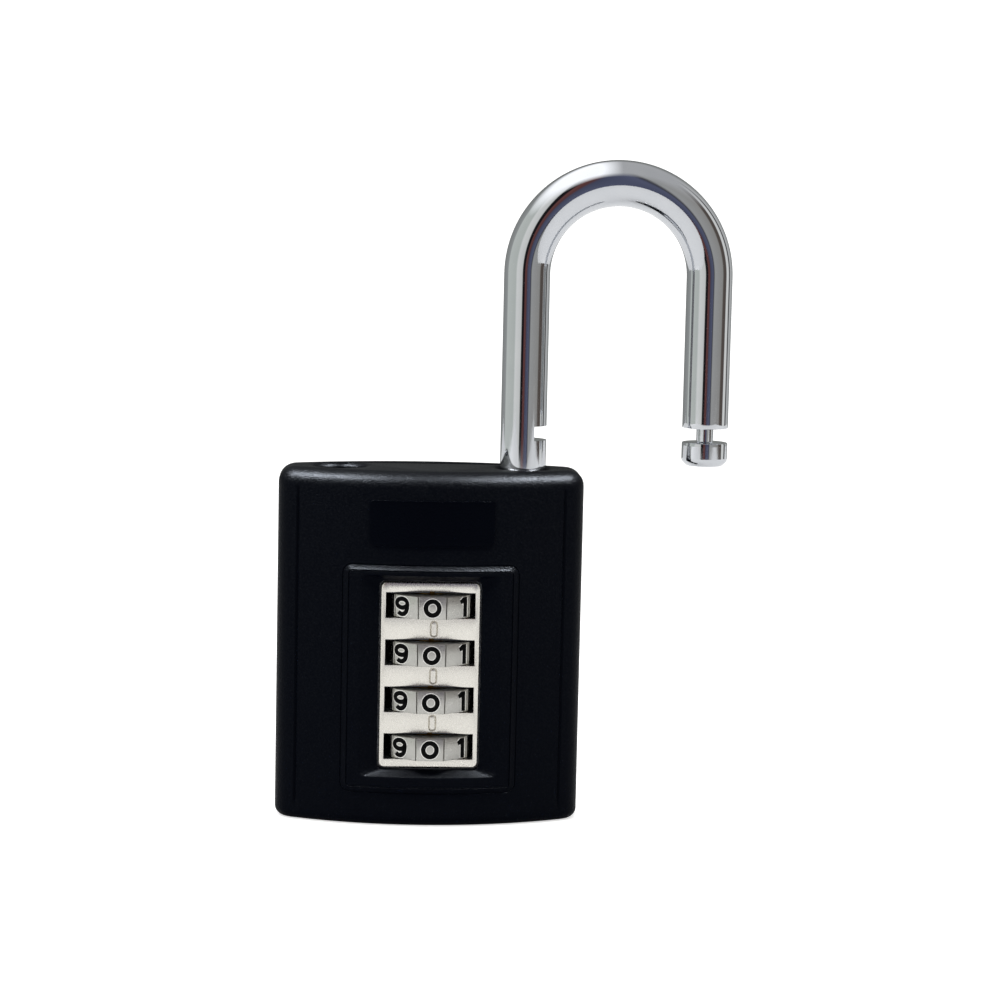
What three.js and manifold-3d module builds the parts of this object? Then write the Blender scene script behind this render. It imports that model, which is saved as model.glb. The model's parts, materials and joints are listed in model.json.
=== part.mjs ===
// Four-dial combination padlock, open, shackle lifted and turned out.
// Millimetres, +Z up. Origin: centre of the flat base. The dials face -Y.
// The shackle's heel leg stays in the body at +X; its toe leg is turned out past +X.
import * as THREE from "three";
import { mergeVertices } from "three/addons/utils/BufferGeometryUtils.js";
import { TessellateModifier } from "three/addons/modifiers/TessellateModifier.js";
import Module from "manifold-3d";

const wasm = await Module();
wasm.setup();

// ---- Driving sizes ----
const bodyWidth = 50;
const bodyHeight = 58;
const bodyDepth = 21.5;
const sideRadius = 4;
const sideFlat = 4.04;
const edgeRadius = 2.6;
const baseRadius = 1.6;
const wall = 1.8;
const fit = 0.3;
const seamY = 5.2;
const seamGap = 0.12;

const shackleRadius = 3.77;
const legSpacing = 30;
const shackleRise = 31.9;
const lift = 14;

const dialRadius = 7.5;
const dialThickness = 3.7;
const dialPitch = 7.75;
const dialCount = 4;
const dialX = 0.25;
const dialProud = 2.5;
const topDialDrop = 21.88;

const plateThickness = 1.2;
const plateSink = 1.65;
const windowGapBelow = 0.1;
const windowGapAbove = 0.4;
const windowArch = 0.2;
const plateSideMargin = 0.83;
const plateTopMargin = 1.68;
const plateFootMargin = 1.47;

const panelRise = 0.35;
const panelSlope = 0.75;
const panelSideMargin = 6.1;
const panelTopMargin = 2.85;
const panelFootMargin = 3.85;
const dishSide = 3.2;
const dishTop = 1.25;
const dishFoot = 1.25;
const dishClearance = 0.25;
const badgeWidth = 20.6;
const badgeHeight = 7.6;
const badgeDrop = 8.2;
const badgeRise = 0.25;
const grooveInset = 3.3;
const markX = 0.6;
const markHalfWidth = 0.63;
const markHalfHeight = 1.4;
const markLine = 0.2;
const markLift = 0.15;

const spindleTravel = 2.4;
const boltTravel = spindleTravel * 2 / 3;

// ---- Places worked out from them ----
const frontY = -bodyDepth / 2;
const cornerX = bodyWidth / 2 - sideRadius;
const faceSag = bodyDepth / 2 - sideFlat / 2;
const faceRadius = (faceSag ** 2 + cornerX ** 2 - sideRadius ** 2) / (2 * (faceSag - sideRadius));
const faceCentreY = faceRadius - bodyDepth / 2;
const heelX = legSpacing / 2;
const toeX = heelX + legSpacing;
const arcZ = bodyHeight + shackleRise;
const boreRadius = shackleRadius + 0.18;

const plateFrontY = frontY + plateSink;
const plateBackY = plateFrontY + plateThickness;
const dialY = plateFrontY + dialRadius - dialProud;
const dialZ = [];
for (let i = 0; i < dialCount; i += 1) {
  dialZ.push(bodyHeight - topDialDrop - (dialCount - 1 - i) * dialPitch);
}
const windowWidth = dialRadius * 1.936;
const plateWidth = windowWidth + 2 * plateSideMargin;
const plateTopZ = dialZ[dialCount - 1] + dialThickness / 2 + windowGapAbove + plateTopMargin;
const plateBottomZ = dialZ[0] - dialThickness / 2 - windowGapBelow - plateFootMargin;

const boltZ = bodyHeight - 8.1;
const boltThickness = 2.2;
const boltLow = boltZ - boltThickness / 2;
const boltHigh = boltZ + boltThickness / 2;
const boltTipX = heelX - shackleRadius - 0.15;

const caseLow = wall + fit;
const caseHigh = bodyHeight - wall - fit;
const floorZ = 4;
const sleeveRadius = 3.6;
const sleeveInner = 2.7;
const rodRadius = 1.2;
const finReach = 2.4;
const sleeveHalf = dialPitch / 2 - 0.075;
const sleeveBore = sleeveRadius + 0.2;
const ceilingZ = boltZ - 5.3;
const headPocketZ = ceilingZ + 1;
const backFloorY = 5.6;
const backPlateY = 7;

// ---- Solids ----
function solidOf(geometry) {
  const bare = geometry.index ? geometry.toNonIndexed() : geometry.clone();
  bare.deleteAttribute("normal");
  bare.deleteAttribute("uv");
  const merged = mergeVertices(bare, 1e-4);
  const pos = merged.attributes.position;
  const index = merged.index.array;
  const tris = [];
  let volume = 0;
  const a = new THREE.Vector3();
  const b = new THREE.Vector3();
  const c = new THREE.Vector3();
  for (let i = 0; i < index.length; i += 3) {
    const [p, q, r] = [index[i], index[i + 1], index[i + 2]];
    if (p === q || q === r || r === p) continue;
    a.fromBufferAttribute(pos, p);
    b.fromBufferAttribute(pos, q);
    c.fromBufferAttribute(pos, r);
    volume += a.dot(b.cross(c));
    tris.push(p, q, r);
  }
  if (volume < 0) {
    for (let i = 0; i < tris.length; i += 3) {
      [tris[i], tris[i + 1]] = [tris[i + 1], tris[i]];
    }
  }
  return new wasm.Manifold(new wasm.Mesh({
    numProp: 3,
    vertProperties: new Float32Array(pos.array),
    triVerts: new Uint32Array(tris),
  }));
}

function box(x0, x1, y0, y1, z0, z1) {
  const g = new THREE.BoxGeometry(x1 - x0, y1 - y0, z1 - z0);
  g.translate((x0 + x1) / 2, (y0 + y1) / 2, (z0 + z1) / 2);
  return solidOf(g);
}

function rodZ(x, y, radius, z0, z1, sides = 32, topRadius = radius) {
  const g = new THREE.CylinderGeometry(topRadius, radius, z1 - z0, sides);
  g.rotateX(Math.PI / 2);
  g.translate(x, y, (z0 + z1) / 2);
  return solidOf(g);
}

function rodY(x, z, radius, y0, y1, sides = 20) {
  const g = new THREE.CylinderGeometry(radius, radius, y1 - y0, sides);
  g.translate(x, (y0 + y1) / 2, z);
  return solidOf(g);
}

function rodX(y, z, radius, x0, x1, sides = 20) {
  const g = new THREE.CylinderGeometry(radius, radius, x1 - x0, sides);
  g.rotateZ(Math.PI / 2);
  g.translate((x0 + x1) / 2, y, z);
  return solidOf(g);
}

// A turned solid about a vertical axis; the profile is [radius, z] from the axis and back to it.
function turned(profile, x, y, sides = 24) {
  const g = new THREE.LatheGeometry(profile.map(([r, z]) => new THREE.Vector2(r, z)), sides);
  g.rotateX(Math.PI / 2);
  g.translate(x, y, 0);
  return solidOf(g);
}

function shapeOf(points, hole) {
  const shape = new THREE.Shape(points.map(([p, q]) => new THREE.Vector2(p, q)));
  if (hole) {
    shape.holes.push(new THREE.Path(hole.map(([p, q]) => new THREE.Vector2(p, q))));
  }
  return shape;
}

function prismZ(points, z0, z1, bevel = 0, steps = 5) {
  const g = new THREE.ExtrudeGeometry(shapeOf(points), {
    depth: z1 - z0 - 2 * bevel,
    bevelEnabled: bevel > 0,
    bevelThickness: bevel,
    bevelSize: bevel,
    bevelOffset: -bevel,
    bevelSegments: steps,
  });
  g.translate(0, 0, z0 + bevel);
  return solidOf(g);
}

function prismY(points, y0, y1, hole) {
  const g = new THREE.ExtrudeGeometry(shapeOf(points, hole), { depth: y1 - y0, bevelEnabled: false });
  g.rotateX(Math.PI / 2);
  g.translate(0, y1, 0);
  return solidOf(g);
}

// A closed skin through rings of equal length, capped at both ends.
function loft(rings) {
  const count = rings[0].length;
  const points = [];
  const push = (p) => points.push(p.x, p.y, p.z);
  for (let k = 0; k + 1 < rings.length; k += 1) {
    for (let i = 0; i < count; i += 1) {
      const j = (i + 1) % count;
      [rings[k][i], rings[k][j], rings[k + 1][j]].forEach(push);
      [rings[k][i], rings[k + 1][j], rings[k + 1][i]].forEach(push);
    }
  }
  for (const [ring, turn] of [[rings[0], true], [rings[rings.length - 1], false]]) {
    const mid = new THREE.Vector3();
    ring.forEach((p) => mid.addScaledVector(p, 1 / count));
    for (let i = 0; i < count; i += 1) {
      const j = (i + 1) % count;
      (turn ? [mid, ring[j], ring[i]] : [mid, ring[i], ring[j]]).forEach(push);
    }
  }
  const g = new THREE.BufferGeometry();
  g.setAttribute("position", new THREE.Float32BufferAttribute(points, 3));
  return solidOf(g);
}

// Rings of round wire along a coil about a vertical axis.
function coil(x, y, coilRadius, wireRadius, z0, z1, turns, perTurn = 12, sides = 6) {
  const rings = [];
  const low = z0 + wireRadius;
  const rise = z1 - z0 - 2 * wireRadius;
  const steps = Math.round(turns * perTurn);
  const slope = rise / (turns * 2 * Math.PI * coilRadius);
  for (let k = 0; k <= steps; k += 1) {
    const t = k / steps;
    const angle = t * turns * 2 * Math.PI;
    const out = new THREE.Vector3(Math.cos(angle), Math.sin(angle), 0);
    const along = new THREE.Vector3(-Math.sin(angle), Math.cos(angle), slope).normalize();
    const side = new THREE.Vector3().crossVectors(along, out);
    const mid = new THREE.Vector3(x, y, low + rise * t).addScaledVector(out, coilRadius);
    const ring = [];
    for (let i = 0; i < sides; i += 1) {
      const a = i / sides * 2 * Math.PI;
      const p = mid.clone();
      p.addScaledVector(out, Math.cos(a) * wireRadius);
      p.addScaledVector(side, Math.sin(a) * wireRadius);
      ring.push(p);
    }
    rings.push(ring);
  }
  return loft(rings);
}

// Outline of a rounded rectangle, with points along the sides as well as the corners.
function roundedRect(x0, x1, z0, z1, r, perSide = 1, perCorner = 4) {
  const points = [];
  const corners = [[x1 - r, z0 + r, -90], [x1 - r, z1 - r, 0], [x0 + r, z1 - r, 90], [x0 + r, z0 + r, 180]];
  corners.forEach(([cx, cz, start], c) => {
    for (let i = 0; i <= perCorner; i += 1) {
      const a = THREE.MathUtils.degToRad(start + 90 * i / perCorner);
      points.push([cx + r * Math.cos(a), cz + r * Math.sin(a)]);
    }
    const from = points[points.length - 1];
    const [nx, nz, nextStart] = corners[(c + 1) % 4];
    const a = THREE.MathUtils.degToRad(nextStart);
    const to = [nx + r * Math.cos(a), nz + r * Math.sin(a)];
    for (let i = 1; i < perSide; i += 1) {
      const t = i / perSide;
      points.push([from[0] + (to[0] - from[0]) * t, from[1] + (to[1] - from[1]) * t]);
    }
  });
  return points;
}

function allOf(solids) {
  return solids.reduce((sum, s) => sum.add(s));
}

function cut(solid, tools) {
  return tools.reduce((left, tool) => left.subtract(tool), solid);
}

// ---- Body outline ----
function faceY(x, inset = 0) {
  return faceCentreY - Math.sqrt((faceRadius - inset) ** 2 - x * x);
}

// Plan of the body: bowed front and back, flat sides, rounded between them.
function plan(inset, arcSteps = 12, cornerSteps = 4) {
  const half = Math.asin(cornerX / (faceRadius - sideRadius));
  const quarter = [];
  for (let i = 0; i <= arcSteps / 2; i += 1) {
    const a = half * i / (arcSteps / 2);
    quarter.push([(faceRadius - inset) * Math.sin(a), faceCentreY - (faceRadius - inset) * Math.cos(a)]);
  }
  for (let i = 1; i <= cornerSteps; i += 1) {
    const a = half + (Math.PI / 2 - half) * i / cornerSteps;
    const reach = sideRadius - inset;
    quarter.push([cornerX + reach * Math.sin(a), -sideFlat / 2 - reach * Math.cos(a)]);
  }
  const right = [...quarter, ...quarter.map(([x, y]) => [x, -y]).reverse()];
  const left = right.slice(1, -1).map(([x, y]) => [-x, y]).reverse();
  return [...right, ...left];
}

// A flat plate with sloped edges, bent onto the body's front face.
function onFace(x0, x1, z0, z1, r, rise, slopeWidth, root) {
  const shape = shapeOf(roundedRect(x0, x1, z0, z1, r));
  let g = new THREE.ExtrudeGeometry(shape, {
    depth: root,
    bevelThickness: rise,
    bevelSize: slopeWidth,
    bevelOffset: -slopeWidth,
    bevelSegments: 1,
  });
  g = new TessellateModifier(5.2, 12).modify(g);
  const pos = g.attributes.position;
  for (let i = 0; i < pos.count; i += 1) {
    const [x, z, height] = [pos.getX(i), pos.getY(i), pos.getZ(i)];
    pos.setXYZ(i, x, faceY(x) + root - height, z);
  }
  return solidOf(g).subtract(box(-bodyWidth, bodyWidth, frontY + root + 3, 50, -9, bodyHeight + 9));
}

const group = new THREE.Group();
group.name = "combination_padlock";

const finishes = {
  plastic: { color: 0x07090f, roughness: 0.5, metalness: 0 },
  plate: { color: 0xc9c7c2, roughness: 0.32, metalness: 1 },
  dial: { color: 0xb9b8b4, roughness: 0.4, metalness: 1 },
  chrome: { color: 0xe8eaec, roughness: 0.08, metalness: 1 },
  zinc: { color: 0x8f9296, roughness: 0.55, metalness: 1 },
  brass: { color: 0xb8964a, roughness: 0.35, metalness: 1 },
  steel: { color: 0x9a9da1, roughness: 0.35, metalness: 1 },
};

function place(name, solid, finish) {
  const mesh = solid.getMesh();
  const g = new THREE.BufferGeometry();
  const flat = new Float32Array(mesh.numVert * 3);
  for (let i = 0; i < mesh.numVert; i += 1) {
    for (let k = 0; k < 3; k += 1) flat[3 * i + k] = mesh.vertProperties[mesh.numProp * i + k];
  }
  g.setAttribute("position", new THREE.BufferAttribute(flat, 3));
  g.setIndex(Array.from(mesh.triVerts));
  g.computeVertexNormals();
  const m = new THREE.Mesh(g, new THREE.MeshStandardMaterial(finishes[finish]));
  m.name = name;
  group.add(m);
}

// ---- Covers ----
const outer = allOf([prismZ(plan(0), 0, bodyHeight - 2 * edgeRadius, baseRadius, 5),
  prismZ(plan(0), 2 * edgeRadius, bodyHeight, edgeRadius, 5)]);
const hollow = prismZ(plan(wall), wall, bodyHeight - wall, 1.2, 2);

const panel = onFace(-plateWidth / 2 - panelSideMargin, plateWidth / 2 + panelSideMargin,
  plateBottomZ - panelFootMargin, plateTopZ + panelTopMargin, 1.5, panelRise, panelSlope, 0.6);
const badgeZ = bodyHeight - badgeDrop;
const badge = onFace(-badgeWidth / 2, badgeWidth / 2, badgeZ - badgeHeight / 2, badgeZ + badgeHeight / 2,
  0.8, badgeRise, 0.25, 0.6);

// The dished opening round the dial plate: flat inner edge, outer edge lying on the raised panel.
function plateOpening() {
  const outline = (side, foot, top) => roundedRect(-plateWidth / 2 - side, plateWidth / 2 + side,
    plateBottomZ - foot, plateTopZ + top, 1, 8, 3);
  const inner = outline(dishClearance, dishClearance, dishClearance);
  const rim = outline(dishSide, dishFoot, dishTop);
  const lipY = plateFrontY - 0.15;
  const flatRing = (pts, y) => pts.map(([x, z]) => new THREE.Vector3(x, y, z));
  const onPanel = rim.map(([x, z]) => new THREE.Vector3(x, faceY(x) - panelRise, z));
  return loft([flatRing(inner, plateBackY), flatRing(inner, lipY), onPanel, flatRing(rim, frontY - 3)]);
}

function sideGroove(side) {
  const x = bodyWidth / 2 - grooveInset;
  const g = new THREE.BoxGeometry(0.4, 0.4, bodyHeight - 2 * edgeRadius + 1);
  g.rotateZ(Math.PI / 4 + side * Math.asin(x / faceRadius));
  g.translate(side * x, faceY(x), bodyHeight / 2);
  return solidOf(g);
}

function shackleHole(x) {
  return rodZ(x, 0, shackleRadius + 0.33, bodyHeight - 6, bodyHeight + 2)
    .add(rodZ(x, 0, shackleRadius + 0.33, bodyHeight - 0.5, bodyHeight + 0.5, 32, shackleRadius + 1.33));
}

const resetHole = rodZ(dialX, dialY, 2.1, -2, floorZ + 1, 24);
const shell = cut(allOf([outer, panel, badge]), [hollow, plateOpening(), sideGroove(-1), sideGroove(1),
  shackleHole(-heelX), shackleHole(heelX), resetHole]);

const snapZ = [bodyHeight * 0.29, bodyHeight * 0.76];
const cavityX = bodyWidth / 2 - wall;
const snaps = [];
for (const side of [-1, 1]) {
  for (const z of snapZ) {
    const [a, b] = [side * (cavityX - 0.7), side * (cavityX + 0.3)];
    snaps.push(box(Math.min(a, b), Math.max(a, b), -1.2, 1.2, z - 2, z + 2));
  }
}
const inFront = box(-80, 80, -60, seamY - seamGap / 2, -9, bodyHeight + 9);
place("front_cover", allOf([shell.intersect(inFront), ...snaps]), "plastic");

const pegX = heelX + 2.5;
const pegs = [];
for (const side of [-1, 1]) {
  for (const z of [8, bodyHeight - 8]) {
    pegs.push(rodY(side * pegX, z, 1.1, 4.3, -faceY(pegX, wall) + 0.4));
  }
}
place("rear_cover", allOf([cut(shell, [box(-80, 80, -60, seamY + seamGap / 2, -9, bodyHeight + 9)]), ...pegs]),
  "plastic");

// ---- Lock case ----
const slotHalf = dialRadius + 0.3;
const slotHigh = dialThickness / 2 + 0.15;
const pinY = 3.45;
const pinRadius = 1.2;
const pinZ = boltZ - 8.6;
const pinEndX = heelX + 4.6;
const screwX = dialX + 8.15;
const screwZ = [(dialZ[0] + dialZ[1]) / 2, (dialZ[dialCount - 2] + dialZ[dialCount - 1]) / 2];
const backHalf = 13;
const backLow = plateBottomZ - 1.8;
const backHigh = bodyHeight - 3.6;
const noseHalf = 2.2;
const shoulderX = boltTipX - 1.7;
const boltFrontY = dialY - 2.4;
const boltBackY = 2.5;

function lockCase() {
  const tools = [];
  tools.push(box(-plateWidth / 2 - 0.15, plateWidth / 2 + 0.15, -60, plateBackY + 0.04,
    plateBottomZ - 0.15, plateTopZ + 0.15));
  for (const z of dialZ) {
    tools.push(box(dialX - slotHalf, dialX + slotHalf, -60, backFloorY + 1, z - slotHigh, z + slotHigh));
  }
  tools.push(rodZ(dialX, dialY, sleeveBore, floorZ, ceilingZ, 32));
  tools.push(rodZ(dialX, dialY, rodRadius + 0.3, floorZ, headPocketZ + 1, 24));
  tools.push(box(dialX - 0.9, dialX + 0.9, dialY, dialY + finReach + 0.3, ceilingZ - 1, headPocketZ + 1));
  tools.push(rodZ(dialX, dialY, 4.1, headPocketZ, boltZ + 4.6, 28));
  tools.push(box(dialX - 4.1, dialX + 4.1, dialY, backFloorY + 1, headPocketZ, boltZ + 4.6));
  const reach = shoulderX + boltTravel + 0.25;
  tools.push(box(-reach, reach, boltFrontY - 0.2, backFloorY + 1, boltLow - 0.1, boltHigh + 0.1));
  tools.push(box(-heelX, heelX, -noseHalf - 0.2, noseHalf + 0.2, boltLow - 0.1, boltHigh + 0.1));
  tools.push(rodZ(-heelX, 0, boreRadius, boltZ - 6, bodyHeight + 5));
  tools.push(rodZ(heelX, 0, boreRadius, floorZ, bodyHeight + 5));
  tools.push(rodX(pinY, pinZ, pinRadius + 0.03, heelX - 4.6, bodyWidth));
  tools.push(box(-backHalf - 0.1, backHalf + 0.1, backFloorY, 60, backLow - 0.1, backHigh + 0.1));
  tools.push(box(dialX - 3.2, dialX + 3.2, 4.9, backFloorY + 1, plateBottomZ - 0.5, plateTopZ + 0.2));
  for (const side of [-1, 1]) {
    for (const z of screwZ) tools.push(rodY(side * screwX, z, 1.15, -1.2, backFloorY + 1));
    for (const z of [8, bodyHeight - 8]) tools.push(rodY(side * pegX, z, 1.2, 4.2, 60));
    for (const z of snapZ) {
      const [a, b] = [side * (cavityX - 0.85), side * (cavityX + 3)];
      tools.push(box(Math.min(a, b), Math.max(a, b), -1.35, 1.35, z - 2.15, z + 2.15));
    }
  }
  tools.push(resetHole);
  return cut(prismZ(plan(wall + fit), caseLow, caseHigh, 1, 2), tools);
}
place("lock_case", lockCase(), "zinc");

function caseBack() {
  const plateSolid = prismY(roundedRect(-backHalf, backHalf, backLow, backHigh, 1), backFloorY + 0.03, backPlateY);
  const guide = box(-shoulderX + 0.3, shoulderX - 0.3, boltBackY + 0.15, backFloorY + 0.5, boltLow, boltHigh);
  const tools = [];
  for (const side of [-1, 1]) {
    for (const z of screwZ) {
      tools.push(rodY(side * screwX, z, 1.3, 0, 20));
      tools.push(rodY(side * screwX, z, 2.1, 6.05, 20));
    }
  }
  return cut(plateSolid.add(guide), tools);
}
place("case_back", caseBack(), "steel");

let screwNumber = 0;
for (const z of screwZ) {
  for (const side of [-1, 1]) {
    screwNumber += 1;
    const x = side * screwX;
    const body = rodY(x, z, 1.1, -1, 6.5, 12).add(rodY(x, z, 1.9, 6.1, 6.95, 16));
    const slots = [box(x - 1.2, x + 1.2, 6.6, 8, z - 0.2, z + 0.2), box(x - 0.2, x + 0.2, 6.6, 8, z - 1.2, z + 1.2)];
    place(`case_screw_${screwNumber}`, cut(body, slots), "steel");
  }
}

// ---- Dial plate ----
function dialPlate() {
  const [x0, x1] = [-plateWidth / 2, plateWidth / 2];
  const blank = prismY(roundedRect(x0, x1, plateBottomZ, plateTopZ, 0.8), plateFrontY, plateBackY);
  const tools = [];
  for (const z of dialZ) {
    const w = windowWidth / 2;
    const low = z - dialThickness / 2 - windowGapBelow;
    const high = z + dialThickness / 2 + windowGapAbove;
    const brow = [];
    for (let i = 0; i <= 12; i += 1) {
      const t = 1 - i / 6;
      brow.push([t * w * 0.84, high + windowArch * (1 - t * t)]);
    }
    tools.push(prismY([[-w, low], [w, low], [w, high], ...brow, [-w, high]], -40, 40));
  }
  for (let i = 0; i + 1 < dialCount; i += 1) {
    const z = (dialZ[i] + dialZ[i + 1]) / 2 + markLift;
    const ring = (w, h) => roundedRect(markX - w, markX + w, z - h, z + h, w - 0.01, 1, 4);
    tools.push(prismY(ring(markHalfWidth, markHalfHeight), -40, plateFrontY + 0.15,
      ring(markHalfWidth - markLine, markHalfHeight - markLine)));
  }
  return cut(blank, tools);
}
place("dial_plate", dialPlate(), "plate");

// ---- Dials and tumbler sleeves ----
const keyRadius = sleeveRadius + 0.75;

function dialWheel(z) {
  const points = [];
  for (let k = 0; k < 10; k += 1) {
    const mid = THREE.MathUtils.degToRad(-90 + 36 * k);
    const apothem = dialRadius * Math.cos(Math.PI / 10);
    const half = dialRadius * Math.sin(Math.PI / 10) - 0.19;
    for (const s of [-1, 1]) {
      points.push([dialX + apothem * Math.cos(mid) - s * half * Math.sin(mid),
        dialY + apothem * Math.sin(mid) + s * half * Math.cos(mid)]);
    }
    const edge = mid + Math.PI / 10;
    points.push([dialX + (dialRadius - 0.34) * Math.cos(edge), dialY + (dialRadius - 0.34) * Math.sin(edge)]);
  }
  const low = z - dialThickness / 2;
  const step = z - 0.3;
  const tools = [rodZ(dialX, dialY, sleeveRadius + 0.15, low - 1, z + 5, 30)];
  tools.push(rodZ(dialX, dialY, keyRadius + 0.2, step, z + 5, 30));
  for (let k = 0; k < 10; k += 1) {
    const g = new THREE.BoxGeometry(1.5, 3, 4);
    g.translate(0, keyRadius + 0.2 - 1.5, step - 1.9);
    g.rotateZ(k * Math.PI / 5);
    g.translate(dialX, dialY, 0);
    tools.push(solidOf(g));
  }
  return cut(prismZ(points, low, low + dialThickness), tools);
}

function tumblerSleeve(z) {
  const high = z + sleeveHalf;
  const low = z - sleeveHalf;
  const tube = rodZ(dialX, dialY, sleeveRadius, low, high, 30);
  const tools = [
    rodZ(dialX, dialY, sleeveInner, z + 0.45, high + 1, 24),
    rodZ(dialX, dialY, sleeveInner, low - 1, z - 0.45, 24),
    rodZ(dialX, dialY, rodRadius + 0.2, low, high, 16),
    box(dialX - 0.75, dialX + 0.75, dialY, dialY + finReach + 0.15, low, high),
  ];
  const key = box(dialX - 0.6, dialX + 0.6, dialY + sleeveRadius - 0.4, dialY + keyRadius, z - 1.75, z - 0.45);
  return cut(tube, tools).add(key);
}

dialZ.forEach((z, i) => {
  place(`dial_wheel_${i + 1}`, dialWheel(z), "dial");
  place(`tumbler_sleeve_${i + 1}`, tumblerSleeve(z), "brass");
});

// ---- Spindle, bolts and change plunger ----
const coneLow = boltZ - 3;
const coneHigh = boltZ + 1.6;
const coneWide = 3.67;
const coneTip = coneWide - (coneHigh - coneLow) * boltTravel / spindleTravel;
const cupTopZ = dialZ[0] - sleeveHalf - 0.15;
const collarZ = 7;

function spindle() {
  const r = rodRadius;
  const profile = [[0, collarZ - 0.3], [r, collarZ - 0.3], [r, collarZ], [2.1, collarZ], [2.1, collarZ + 0.8],
    [r, collarZ + 0.8], [r, coneLow - 1], [coneWide, coneLow - 1], [coneWide, coneLow], [coneTip, coneHigh],
    [0, coneHigh]];
  const fins = dialZ.map((z) => box(dialX - 0.6, dialX + 0.6, dialY, dialY + finReach, z - 1.45, z - 0.75));
  return allOf([turned(profile, dialX, dialY), ...fins]);
}
place("spindle", spindle(), "steel");
place("spindle_spring", coil(dialX, dialY, 1.78, 0.2, 5.04, collarZ - 0.04, 3), "steel");

function latchBolt(side) {
  const gap = 0.15;
  const ramp = (z) => coneWide - (z - coneLow) * boltTravel / spindleTravel + gap;
  const profile = [
    [dialX + side * ramp(boltLow), boltLow],
    [side * boltTipX, boltLow],
    [side * boltTipX, boltHigh],
    [dialX + side * ramp(boltHigh), boltHigh],
  ];
  const solid = prismY(profile, boltFrontY, boltBackY);
  const [a, b] = [side * shoulderX, side * 99];
  const [lo, hi] = [Math.min(a, b), Math.max(a, b)];
  return cut(solid, [box(lo, hi, -60, -noseHalf, 0, 99), box(lo, hi, noseHalf, 60, 0, 99)]);
}
place("toe_bolt", latchBolt(-1), "steel");
place("heel_bolt", latchBolt(1), "steel");

function changePlunger() {
  const profile = [[0, 0.5], [1.6, 0.5], [1.9, 0.8], [1.9, floorZ + 0.05], [3.5, floorZ + 0.05], [3.5, cupTopZ],
    [2.5, cupTopZ], [2.5, 5], [0, 5]];
  const slot = box(dialX - 3, dialX + 3, dialY - 0.35, dialY + 0.35, -1, 1.2);
  return turned(profile, dialX, dialY).subtract(slot);
}
place("change_plunger", changePlunger(), "brass");
place("sleeve_return_spring", coil(dialX, dialY, 3.1, 0.3, dialZ[dialCount - 1] + sleeveHalf + 0.05,
  ceilingZ - 0.05, 3.5), "steel");

function detentSpring() {
  const spine = box(dialX - 3, dialX + 3, 5, 5.5, plateBottomZ, plateTopZ - 0.1);
  const tipY = dialY + dialRadius + 0.15;
  const bumps = dialZ.map((z) => prismZ([[dialX - 1.7, 5.2], [dialX - 0.3, tipY], [dialX + 0.3, tipY],
    [dialX + 1.7, 5.2]], z - 1.6, z + 1.6));
  return allOf([spine, ...bumps]);
}
place("detent_spring", detentSpring(), "steel");

// ---- Shackle ----
const footLow = 26;
const grooveLow = pinZ - pinRadius - 0.1;
const grooveHigh = pinZ + pinRadius + 0.1;
const neckFlat = pinY - pinRadius - 0.15;
const notchLow = boltLow + lift - 0.05;
const notchHigh = boltHigh + lift + 0.1;
const toeEnd = notchLow - 3.85;
const toeNeck = shackleRadius * 0.37;

function shackle() {
  const sides = 24;
  const rings = [];
  const ring = (x, z, angle, radius) => {
    const out = [];
    for (let i = 0; i < sides; i += 1) {
      const a = i / sides * 2 * Math.PI;
      const across = Math.cos(a) * radius;
      out.push(new THREE.Vector3(x + across * Math.cos(angle), Math.sin(a) * radius, z + across * Math.sin(angle)));
    }
    rings.push(out);
  };
  const r = shackleRadius;
  ring(heelX, footLow, 0, r - 0.6);
  ring(heelX, footLow + 0.6, 0, r);
  ring(heelX, grooveLow, 0, r);
  ring(heelX, grooveLow, 0, neckFlat);
  ring(heelX, grooveHigh, 0, neckFlat);
  ring(heelX, grooveHigh, 0, r);
  const steps = 18;
  for (let i = 0; i <= steps; i += 1) {
    const a = Math.PI * i / steps;
    ring(heelX + legSpacing / 2 * (1 - Math.cos(a)), arcZ + legSpacing / 2 * Math.sin(a), -a, r);
  }
  ring(toeX, notchHigh + 0.05, -Math.PI, r);
  ring(toeX, notchHigh + 0.05, -Math.PI, toeNeck);
  ring(toeX, notchLow, -Math.PI, toeNeck);
  ring(toeX, notchLow, -Math.PI, r - 0.15);
  ring(toeX, notchLow - 0.15, -Math.PI, r);
  ring(toeX, toeEnd + 0.8, -Math.PI, r);
  ring(toeX, toeEnd, -Math.PI, r - 0.8);
  const flats = [-1, 1].map((s) => {
    const [a, b] = [s * neckFlat, s * 9];
    return box(heelX - 9, heelX + 9, Math.min(a, b), Math.max(a, b), grooveHigh - 0.5, bodyHeight - 1.5);
  });
  const notchX = heelX + shackleRadius * 0.41;
  const notch = prismY(roundedRect(notchX, notchX + 9, notchLow, notchHigh, 0.4), -9, 9);
  const openOutline = roundedRect(heelX - 9, heelX * 2 - notchX, notchLow - lift, notchHigh - lift, 0.4);
  const openNotch = prismY(openOutline, -9, 9);
  return cut(loft(rings), [...flats, notch, openNotch]);
}
place("shackle", shackle(), "chrome");
place("spring_cap", rodZ(heelX, 0, shackleRadius - 0.1, footLow - 2.05, footLow - 0.05, 28), "steel");
place("shackle_spring", coil(heelX, 0, 2.9, 0.4, floorZ + 0.05, footLow - 2.1, 7), "steel");
place("retaining_pin", rodX(pinY, pinZ, pinRadius, heelX - 4.5, pinEndX, 20), "steel");

export default group;
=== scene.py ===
import json
import math

import bmesh
import bpy
from mathutils import Matrix, Vector

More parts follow.
